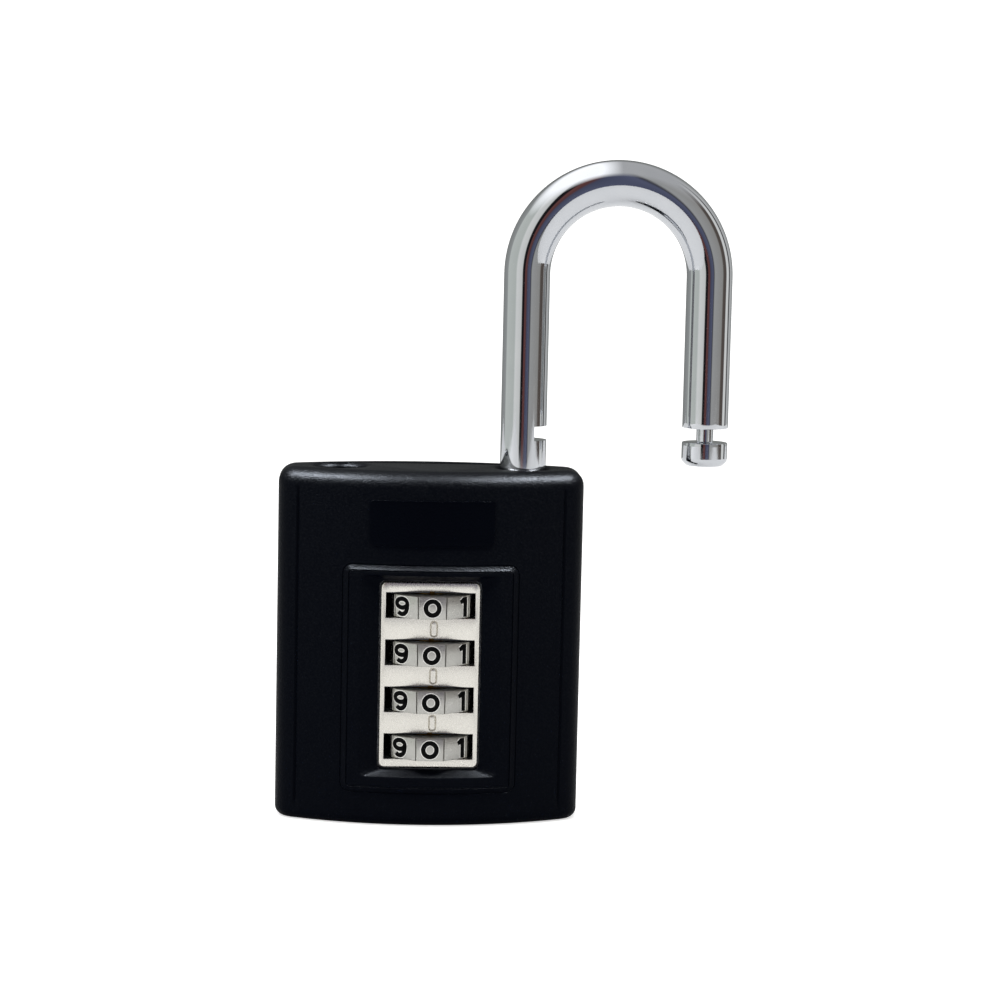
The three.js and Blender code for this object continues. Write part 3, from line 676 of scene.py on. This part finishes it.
class PADLOCK_OT_dials(bpy.types.Operator):
    """Builds the four ten-sided dials and their digits"""
    bl_idname = "padlock.dials"
    bl_label = "Dials"

    def execute(self, context):
        sizes = context.scene.padlock_sizes
        for number, name in enumerate(DIALS, 1):
            low, high = (Vector(c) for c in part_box(name))
            self.wheel(sizes, name, number, low.z, high.z)
            self.digits(sizes, number, (low.z + high.z) / 2)
        return {"FINISHED"}

    def outline(self, sizes, inset):
        """The ten facets with a narrow groove between them."""
        axis = dial_axis()
        flat = sizes.dial_radius * math.cos(math.pi / 10) - inset
        half = sizes.dial_radius * math.sin(math.pi / 10) - sizes.facet_groove / 2 - inset * 0.3
        soft = 0.07 * MM
        points = []
        for k in range(10):
            mid = math.radians(-90 + 36 * k)
            across = Vector((-math.sin(mid), math.cos(mid)))
            out = Vector((math.cos(mid), math.sin(mid)))
            for side, reach in ((-half - soft, flat - soft), (-half, flat), (0, flat), (half, flat),
                                (half + soft, flat - soft)):
                spot = out * reach + across * side
                points.append((axis.x + spot.x, axis.y + spot.y))
            edge = mid + math.pi / 10
            deep = sizes.dial_radius - sizes.facet_groove - inset
            points.append((axis.x + deep * math.cos(edge), axis.y + deep * math.sin(edge)))
        return points

    def wheel(self, sizes, name, number, low, high):
        """One dial, with a bore that is wider in its upper half."""
        axis = dial_axis()
        turns = [math.atan2(y - axis.y, x - axis.x) for x, y in self.outline(sizes, 0)]

        def ring(radius, z):
            return [Vector((axis.x + radius * math.cos(a), axis.y + radius * math.sin(a), z))
                    for a in turns]

        def rim(inset, z):
            return [Vector((x, y, z)) for x, y in self.outline(sizes, inset)]

        edge = sizes.dial_edge
        middle = (low + high) / 2
        bore, step = sizes.dial_bore, sizes.dial_step
        bm = bmesh.new()
        skin(bm, [ring(bore, low), rim(edge, low), rim(0.3 * edge, low + 0.3 * edge), rim(0, low + edge),
                  rim(0, high - edge), rim(0.3 * edge, high - 0.3 * edge), rim(edge, high),
                  ring(step, high), ring(step, middle), ring(bore, middle), ring(bore, low)])
        bmesh.ops.remove_doubles(bm, verts=bm.verts, dist=1e-7)
        finished(f"number_dial_{number}", bm, f"dial_{number}", "blasted_nickel_dial", [name],
                 sharp=25)

    def digits(self, sizes, number, z):
        """The painted digits of one dial, each on a bright band that is a little wider."""
        axis = dial_axis()
        scale = sizes.digit_height / DRAWN_HEIGHT
        bm = bmesh.new()
        flat = sizes.dial_radius * math.cos(math.pi / 10)
        for digit, strokes in digit_strokes().items():
            mid = math.radians(-90 + 36 * digit)
            across = Vector((-math.sin(mid), math.cos(mid), 0))
            out = Vector((math.cos(mid), math.sin(mid), 0))
            aside = {1: sizes.one_aside, 9: sizes.nine_aside}.get(digit, 0.0)
            for width, proud, material in ((sizes.digit_stroke + 0.22 * MM, 0.012 * MM, 1),
                                           (sizes.digit_stroke, 0.024 * MM, 0)):
                def to_space(x, h, proud=proud, across=across, out=out, aside=aside):
                    return (axis + out * (flat + proud) + across * (x * MM * scale + aside)
                            + Vector((0, 0, z + h * MM * scale)))
                for line, closed in strokes:
                    ribbon(bm, line, closed, width / MM, to_space, material)
        finished(f"dial_digits_{number}", bm, f"dial_{number}",
                 ["black_engraving_paint", "bright_cut_edge"])


# ---- Shackle ----
class PADLOCK_OT_shackle(bpy.types.Operator):
    """Builds the chromed shackle with its latch notches"""
    bl_idname = "padlock.shackle"
    bl_label = "Shackle"

    def execute(self, context):
        sizes = context.scene.padlock_sizes
        radius = sizes.shackle_radius
        heel = swivel_axis()
        toe = Vector((SHACKLE_HIGH.x - radius, 0, 0))
        bend = (toe.x - heel.x) / 2
        arch = SHACKLE_HIGH.z - radius - bend
        sides = 64
        groove = (sizes.pin_z - 1.3 * MM, sizes.pin_z + 1.3 * MM)
        neck = sizes.shackle_flat
        foot = SHACKLE_LOW.z
        bm = bmesh.new()
        heel_steps = [(radius - 0.6 * MM, foot), (radius, foot + 0.6 * MM), (radius, groove[0]),
                      (neck, groove[0]), (neck, groove[1]), (radius, groove[1]),
                      (radius, BODY_TOP - 0.9 * MM), (radius, sizes.notch_low - 0.7 * MM),
                      (radius, sizes.notch_high + 0.7 * MM), (radius, arch)]
        loops = skin(bm, [circle_points(heel, r, z, sides) for r, z in heel_steps])
        start, loop = loops[0], loops[-1]
        spun = bmesh.ops.spin(bm, geom=[*loop, *{v for e in loop for v in e.verts}],
                              cent=(heel.x + bend, 0, arch), axis=(0, 1, 0), dvec=(0, 0, 0),
                              angle=math.pi, steps=64, use_merge=False)
        last = [g for g in spun["geom_last"] if isinstance(g, bmesh.types.BMEdge)]
        end = sizes.notch_low - sizes.toe_head
        shoulder = sizes.notch_high + 0.05 * MM
        head = sizes.notch_low
        toe_steps = [(radius, shoulder + 0.9 * MM), (radius, shoulder + 0.25 * MM),
                     (radius - 0.02 * MM, shoulder + 0.05 * MM), (radius - 0.07 * MM, shoulder),
                     (sizes.toe_neck + 0.15 * MM, shoulder), (sizes.toe_neck, shoulder - 0.15 * MM),
                     (sizes.toe_neck, head + 0.15 * MM), (sizes.toe_neck + 0.15 * MM, head),
                     (radius - 0.15 * MM, head), (radius - 0.04 * MM, head - 0.05 * MM),
                     (radius, head - 0.18 * MM), (radius, head - 0.5 * MM), (radius, end + 1.3 * MM),
                     (radius, end + 0.95 * MM), (radius - 0.08 * MM, end + 0.72 * MM),
                     (radius - 0.7 * MM, end + 0.1 * MM), (radius - 0.9 * MM, end)]
        for r, z in toe_steps:
            # The bend has turned the ring over, so its vertices run the other way round the toe.
            points = circle_points(toe, r, z, sides)
            flipped = [Vector((2 * toe.x - p.x, p.y, p.z)) for p in points]
            last = next_loop(bm, last, flipped)
        for loop_edges in (start, last):
            bmesh.ops.edgeloop_fill(bm, edges=loop_edges)
        shackle = finished("chromed_shackle", bm, "shackle", "polished_chrome", ["shackle"],
                           Vector((1, 0, 0)), 28)
        self.cut_notches(sizes, shackle, heel, radius, groove)
        return {"FINISHED"}

    def cut_notches(self, sizes, shackle, heel, radius, groove):
        """Cuts the flats that clear the retaining pin, then the latch notches, and softens the edges."""
        deep = radius * 0.41
        far = 9 * MM
        play = 0.1 * MM
        travel = sizes.lift
        flat_low = groove[1] - 0.5 * MM
        flat_high = BODY_TOP - 1.2 * MM
        neck = sizes.shackle_flat
        self.cut(shackle, [((heel.x - far, neck, flat_low), (heel.x + far, far, flat_high)),
                           ((heel.x - far, -far, flat_low), (heel.x + far, -neck, flat_high))])
        self.cut(shackle, [((heel.x + deep, -far, sizes.notch_low), (heel.x + far, far, sizes.notch_high)),
                           ((heel.x - far, -far, sizes.notch_low - travel - play),
                            (heel.x - deep, far, sizes.notch_high - travel + play))])
        shackle.data.shade_smooth()
        shackle.data.set_sharp_from_angle(angle=math.radians(28))
        soft = shackle.modifiers.new("soft_edges", "BEVEL")
        soft.width = 0.05 * MM
        soft.segments = 2
        soft.limit_method = "ANGLE"
        soft.angle_limit = math.radians(40)
        soft.harden_normals = True

    def cut(self, piece, boxes):
        """Cuts boxes, which don't touch each other, out of a piece's mesh."""
        bm = bmesh.new()
        for low, high in boxes:
            low, high = Vector(low), Vector(high)
            place = Matrix.Translation((low + high) / 2) @ Matrix.Diagonal((*(high - low), 1))
            bmesh.ops.create_cube(bm, size=1, matrix=place)
        mesh = bpy.data.meshes.new("cutting_boxes")
        bm.to_mesh(mesh)
        bm.free()
        tool = bpy.data.objects.new("cutting_boxes", mesh)
        bpy.context.scene.collection.objects.link(tool)
        cut = piece.modifiers.new("cut", "BOOLEAN")
        cut.operation = "DIFFERENCE"
        cut.solver = "EXACT"
        cut.object = tool
        graph = bpy.context.evaluated_depsgraph_get()
        made = bpy.data.meshes.new_from_object(piece.evaluated_get(graph))
        piece.modifiers.clear()
        bpy.data.objects.remove(tool)
        bm = bmesh.new()
        bm.from_mesh(made)
        bmesh.ops.triangulate(bm, faces=[f for f in bm.faces if len(f.verts) > 4])
        bm.to_mesh(made)
        bm.free()
        piece.data = made


# ---- Mechanism ----
INNER_FINISH = {
    "lock_case": "as_cast_zinc",
    "change_plunger": "turned_brass",
    **{f"tumbler_sleeve_{number}": "turned_brass" for number in range(1, 5)},
}


# Compressed springs: the joint that works each, its fixed end, and the share of it left at the limit.
SPRINGS = (("shackle_spring", "shackle_lift", "low", 0.29),
           ("sleeve_return_spring", "change_push", "high", 0.67),
           ("spindle_spring", "change_push", "high", 0.2))


class PADLOCK_OT_mechanism(bpy.types.Operator):
    """Gives the inner CAD pieces their metals"""
    bl_idname = "padlock.mechanism"
    bl_label = "Mechanism"

    def execute(self, context):
        rebuilt = {"front_cover", "rear_cover", "dial_plate", "shackle", *DIALS}
        for name, piece in frame["nodes"].items():
            if name in rebuilt:
                continue
            piece.data.materials.clear()
            piece.data.materials.append(finishes()[INNER_FINISH.get(name, "plain_hardened_steel")])
        for name, joint, end, keep in SPRINGS:
            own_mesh(frame["nodes"][name])
        return {"FINISHED"}


# ---- Stage ----
# What stands round the lock, as degrees right of the camera and a shade: this is what the chrome mirrors.
TENT_WALLS = (
    (-180, "6c6e6c"), (-150, "868886"), (-116, "9a9c9a"), (-110, "c4c8c2"), (-62, "bcc0ba"),
    (-54, "dededa"), (-28, "d2d2ce"), (-24, "141416"), (-15, "1c191c"), (-12, "6a4442"),
    (-5, "5a3a38"), (-1, "484c60"), (11, "585c72"), (15, "3c3c42"),
    (20, "a0a09e"), (62, "94928e"), (68, "5a524c"), (84, "544c48"), (90, "e4e4e0"), (104, "d4d4d0"),
    (108, "3c3c3c"), (114, "3c3c3e"), (119, "c4c4c2"), (150, "868886"), (179, "6c6e6c"),
)


class PADLOCK_OT_stage(bpy.types.Operator):
    """Sets the pale floor, the studio lights and the camera"""
    bl_idname = "padlock.stage"
    bl_label = "Stage"

    def execute(self, context):
        scene = context.scene
        scene.view_settings.view_transform = "Standard"
        self.floor()
        self.lights()
        self.camera(scene)
        return {"FINISHED"}

    def floor(self):
        """A pale card under and behind the lock."""
        material, tree = new_material("matt_white_card")
        soft = grain(tree, 30 * MM, 2)
        tint = add_node(tree, "ShaderNodeMapRange", {
            "Value": soft.outputs["Fac"], "To Min": 0.90, "To Max": 0.93})
        ray = add_node(tree, "ShaderNodeLightPath")
        glow = add_node(tree, "ShaderNodeMapRange", {
            "Value": ray.outputs["Is Camera Ray"], "To Min": 0.08, "To Max": 0.6})
        finish_material(tree, {
            "Base Color": tint.outputs["Result"], "Roughness": 0.9, "Specular IOR Level": 0.1,
            "Emission Color": (1, 1, 1, 1), "Emission Strength": glow.outputs["Result"]})
        bm = bmesh.new()
        place = Matrix.Translation((0, -0.02, 0)) @ Matrix.Diagonal((0.6, 0.53, 1, 1))
        bmesh.ops.create_grid(bm, x_segments=1, y_segments=1, size=1, matrix=place)
        mesh = bpy.data.meshes.new("studio_floor")
        bm.to_mesh(mesh)
        bm.free()
        mesh.materials.append(material)
        floor = bpy.data.objects.new("studio_floor", mesh)
        bpy.context.scene.collection.objects.link(floor)

    def lights(self):
        """The tent, three soft boxes and a hard light on each side that only the covers mirror."""
        self.tent()
        self.panel("top_softbox", (0.0, 0.05, 0.75), (0.0, 0.0, 0.05), 0.8, 0.5, 1.2)
        self.panel("left_softbox", (-0.65, -0.25, 0.35), (0.0, 0.0, 0.06), 0.16, 0.7, 0.7)
        self.panel("right_softbox", (0.75, -0.1, 0.35), (0.0, 0.0, 0.06), 0.22, 0.7, 0.8)
        covers = bpy.data.collections.new("covers_lit_from_above")
        for name in ("moulded_front_cover", "moulded_rear_cover"):
            covers.objects.link(bpy.data.objects[name])
        for side in (-1, 1):
            name = f"cover_kicker_{'left' if side < 0 else 'right'}"
            kicker = self.panel(name, (0.24 * side, -0.1, 0.44), (0.0, 0.0, 0.04), 0.16, 0.1, 42.0,
                                mirrored=True)
            kicker.light_linking.receiver_collection = covers

    def tent(self):
        """A light tent: cloth walls, with a dark slit and a person in front, and a bright roof."""
        world = bpy.data.worlds.new("light_tent")
        bpy.context.scene.world = world
        world.use_nodes = True
        tree = world.node_tree
        tree.nodes.clear()
        toward = add_node(tree, "ShaderNodeTexCoord")
        axes = add_node(tree, "ShaderNodeSeparateXYZ", {"Vector": toward.outputs["Generated"]})
        front = add_node(tree, "ShaderNodeMath", {0: axes.outputs["Y"], 1: -1.0}, operation="MULTIPLY")
        bearing = add_node(tree, "ShaderNodeMath", {0: axes.outputs["X"], 1: front.outputs["Value"]},
                           operation="ARCTAN2")
        share = add_node(tree, "ShaderNodeMapRange", {
            "Value": bearing.outputs["Value"], "From Min": -math.pi, "From Max": math.pi})
        walls = add_node(tree, "ShaderNodeValToRGB", {"Fac": share.outputs["Result"]})
        stops = walls.color_ramp.elements
        while len(stops) > 1:
            stops.remove(stops[-1])
        for number, (degrees, code) in enumerate(TENT_WALLS):
            stop = stops[0] if number == 0 else stops.new(0.5 + degrees / 360)
            stop.position = 0.5 + degrees / 360
            stop.color = (*linear(code), 1)
        roof = add_node(tree, "ShaderNodeMapRange", {
            "Value": axes.outputs["Z"], "From Min": 0.55, "From Max": 0.8})
        window = add_node(tree, "ShaderNodeMapRange", {
            "Value": axes.outputs["X"], "From Min": -0.08, "From Max": 0.1, "To Min": 1.3, "To Max": 0.45})
        inside = add_node(tree, "ShaderNodeMix", {
            "Factor": roof.outputs["Result"], "A": walls.outputs["Color"], "B": window.outputs["Result"]},
            data_type="RGBA")
        ray = add_node(tree, "ShaderNodeLightPath")
        seen = add_node(tree, "ShaderNodeMix", {
            "Factor": ray.outputs["Is Camera Ray"], "A": inside.outputs["Result"],
            "B": (1.02, 1.02, 1.02, 1)}, data_type="RGBA")
        sky = add_node(tree, "ShaderNodeBackground", {"Color": seen.outputs["Result"], "Strength": 1.3})
        add_node(tree, "ShaderNodeOutputWorld", {"Surface": sky.outputs["Background"]})

    def panel(self, name, place, target, width, height, power, mirrored=False):
        """An area light; a mirrored one only shows in glossy surfaces, the others never do."""
        light = bpy.data.lights.new(name, "AREA")
        light.shape = "RECTANGLE"
        light.size = width
        light.size_y = height
        light.energy = power
        lamp = bpy.data.objects.new(name, light)
        bpy.context.scene.collection.objects.link(lamp)
        lamp.location = place
        lamp.rotation_euler = (Vector(target) - Vector(place)).to_track_quat("-Z", "Y").to_euler()
        lamp.visible_glossy = mirrored
        lamp.visible_diffuse = not mirrored
        return lamp

    def camera(self, scene):
        """A long lens a little above the body and left of it, tilted down and rolled by about a degree."""
        data = bpy.data.cameras.new("camera")
        data.sensor_width = 36
        data.lens = 94.04
        data.clip_start = 0.05
        yaw, pitch, roll = math.radians(3.209), math.radians(-6.589), math.radians(1.261)
        ahead = Vector((math.sin(yaw) * math.cos(pitch), math.cos(yaw) * math.cos(pitch), math.sin(pitch)))
        right = Vector((math.cos(yaw), -math.sin(yaw), 0))
        up = right.cross(ahead)
        across = right * math.cos(roll) + up * math.sin(roll)
        over = up * math.cos(roll) - right * math.sin(roll)
        camera = bpy.data.objects.new("camera", data)
        scene.collection.objects.link(camera)
        turn = Matrix((across, over, -ahead)).transposed().to_4x4()
        camera.matrix_world = Matrix.Translation(Vector((-12.59, -427.37, 102.04)) * MM) @ turn
        scene.camera = camera


# ---- Settings, panel and registration ----
def length(name, description, value):
    """A length in millimetres as a property in metres."""
    return bpy.props.FloatProperty(name=name, description=description, default=value * MM, unit="LENGTH",
                                   precision=5)


def colour(name, description, code):
    """A colour property from an sRGB hex value."""
    return bpy.props.FloatVectorProperty(name=name, description=description, default=linear(code),
                                         subtype="COLOR", min=0, max=1)


class PadlockSizes(bpy.types.PropertyGroup):
    """Sizes that the frame does not give"""
    side_radius: length("Side radius", "Rounding between the face and the flat side", 4.0)
    side_flat: length("Side flat", "Height of the flat strip on each side, seen from above", 4.04)
    edge_radius: length("Edge radius", "Rounding of the top edge", 2.6)
    base_radius: length("Base radius", "Rounding of the base edge", 1.6)
    wall: length("Wall", "Thickness of the covers", 1.5)
    groove_inset: length("Groove inset", "Distance of the face's side groove from the body's side", 3.3)
    groove_width: length("Groove width", "Width of the side groove", 0.6)
    groove_depth: length("Groove depth", "Depth of the side groove", 0.25)
    groove_run_out: length("Groove run-out", "From the groove's end to the edge's rounding", 0.5)
    mouth_radius: length("Mouth radius", "Radius of the holes for the shackle", 4.1)
    change_hole: length("Change hole", "Radius of the hole in the base for the change plunger", 2.1)
    panel_half: length("Frame half width", "Half the width of the raised frame", 14.2)
    panel_margin: length("Frame margin", "Strip of the face that is remade round the frame", 1.0)
    panel_below: length("Frame below", "How far the frame reaches below the dial plate", 3.85)
    panel_above: length("Frame above", "How far the frame reaches above the dial plate", 2.85)
    panel_rise: length("Frame rise", "Height of the raised frame", 0.35)
    panel_slope: length("Frame slope", "Width of the frame's sloped edge", 0.75)
    panel_line: length("Frame line", "Width and depth of the fine grooves along the frame's slope", 0.12)
    panel_corner: length("Frame corner", "Corner radius of the raised frame", 1.5)
    dish_corner: length("Dish corner", "Corner radius of the dished opening", 1.0)
    plate_clearance: length("Plate clearance", "Gap round the dial plate", 0.25)
    dish_side: length("Dish side", "Width of the dished edge beside the plate", 3.2)
    dish_below: length("Dish below", "Width of the dished edge below the plate", 1.25)
    dish_above: length("Dish above", "Width of the dished edge above the plate", 1.25)
    badge_width: length("Badge width", "Width of the blank badge", 20.6)
    badge_height: length("Badge height", "Height of the blank badge", 7.6)
    badge_z: length("Badge middle", "Height of the badge's middle above the base", 49.8)
    badge_rise: length("Badge rise", "How far the badge stands out", 0.25)
    plate_corner: length("Plate corner", "Corner radius of the dial plate", 1.0)
    window_width: length("Window width", "Width of each dial window", 14.52)
    gap_below: length("Gap below a dial", "Gap between a dial and its window's lower edge", 0.1)
    gap_above: length("Gap above a dial", "Gap between a dial and its window's upper corners", 0.4)
    window_arch: length("Window arch", "Height of the arch over a window", 0.2)
    mark_x: length("Mark place", "Sideways place of the index marks", 0.6)
    mark_lift: length("Mark lift", "How far a mark sits above the middle of its web", 0.15)
    mark_width: length("Mark width", "Width of an index mark", 1.3)
    mark_height: length("Mark height", "Height of an index mark", 2.8)
    mark_line: length("Mark line", "Width of the line round an index mark", 0.26)
    dial_radius: length("Dial radius", "Radius of a dial at its corners", 7.5)
    dial_bore: length("Dial bore", "Radius of a dial's bore", 3.8)
    dial_step: length("Dial step", "Radius of the wider upper half of the bore", 4.6)
    dial_edge: length("Dial edge", "Bevel at a dial's top and base", 0.18)
    facet_groove: length("Facet groove", "Width of the groove between two facets", 0.38)
    digit_height: length("Digit height", "Height of a digit", 3.2)
    digit_stroke: length("Digit stroke", "Width of a digit's stroke", 0.76)
    one_aside: length("Place of the one", "How far the one stands right of its facet's middle", 1.1)
    nine_aside: length("Place of the nine", "How far the nine stands right of its facet's middle", -0.85)
    shackle_radius: length("Shackle radius", "Radius of the shackle's bar", 3.77)
    shackle_flat: length("Shackle flat", "Distance of the pin's flats from the heel's axis", 2.1)
    pin_z: length("Pin height", "Height of the retaining pin", 41.3)
    notch_low: length("Notch low", "Lower face of the heel notch", 62.75)
    notch_high: length("Notch high", "Upper face of the heel notch", 65.1)
    toe_head: length("Toe head", "Height of the head at the toe's end", 3.85)
    toe_neck: length("Toe neck", "Radius of the toe's neck", 1.4)
    lift: length("Lift", "How far the shackle lifts", 14.0)


class PadlockFinishes(bpy.types.PropertyGroup):
    """Colours of the visible finishes"""
    plastic: colour("Plastic", "Black moulded covers", "010208")
    plastic_shade: colour("Plastic shade", "Second tone of the covers", "02040b")
    nickel: colour("Nickel", "Dial plate", "e6e3dc")
    dial: colour("Dial", "Number dials", "c6c5c1")
    chrome: colour("Chrome", "Shackle", "cdcfd3")
    paint: colour("Paint", "Fill of the digits", "020203")


STEPS = (PADLOCK_OT_covers, PADLOCK_OT_dial_plate, PADLOCK_OT_dials, PADLOCK_OT_shackle,
         PADLOCK_OT_mechanism, PADLOCK_OT_stage)


class VIEW3D_PT_padlock(bpy.types.Panel):
    """The lock's building steps and settings"""
    bl_label = "Padlock"
    bl_space_type = "VIEW_3D"
    bl_region_type = "UI"
    bl_category = "Padlock"

    def draw(self, context):
        for step in STEPS:
            self.layout.operator(step.bl_idname)
        for group in (context.scene.padlock_finishes, context.scene.padlock_sizes):
            for name in group.__annotations__:
                self.layout.prop(group, name)


CLASSES = (PadlockSizes, PadlockFinishes, *STEPS, VIEW3D_PT_padlock)


def register():
    for one in CLASSES:
        bpy.utils.register_class(one)
    bpy.types.Scene.padlock_sizes = bpy.props.PointerProperty(type=PadlockSizes)
    bpy.types.Scene.padlock_finishes = bpy.props.PointerProperty(type=PadlockFinishes)


def unregister():
    del bpy.types.Scene.padlock_finishes
    del bpy.types.Scene.padlock_sizes
    for one in reversed(CLASSES):
        bpy.utils.unregister_class(one)


def main():
    register()
    bpy.ops.padlock.covers()
    bpy.ops.padlock.dial_plate()
    bpy.ops.padlock.dials()
    bpy.ops.padlock.shackle()
    bpy.ops.padlock.mechanism()
    bpy.ops.padlock.stage()


if __name__ == "__main__":
    main()
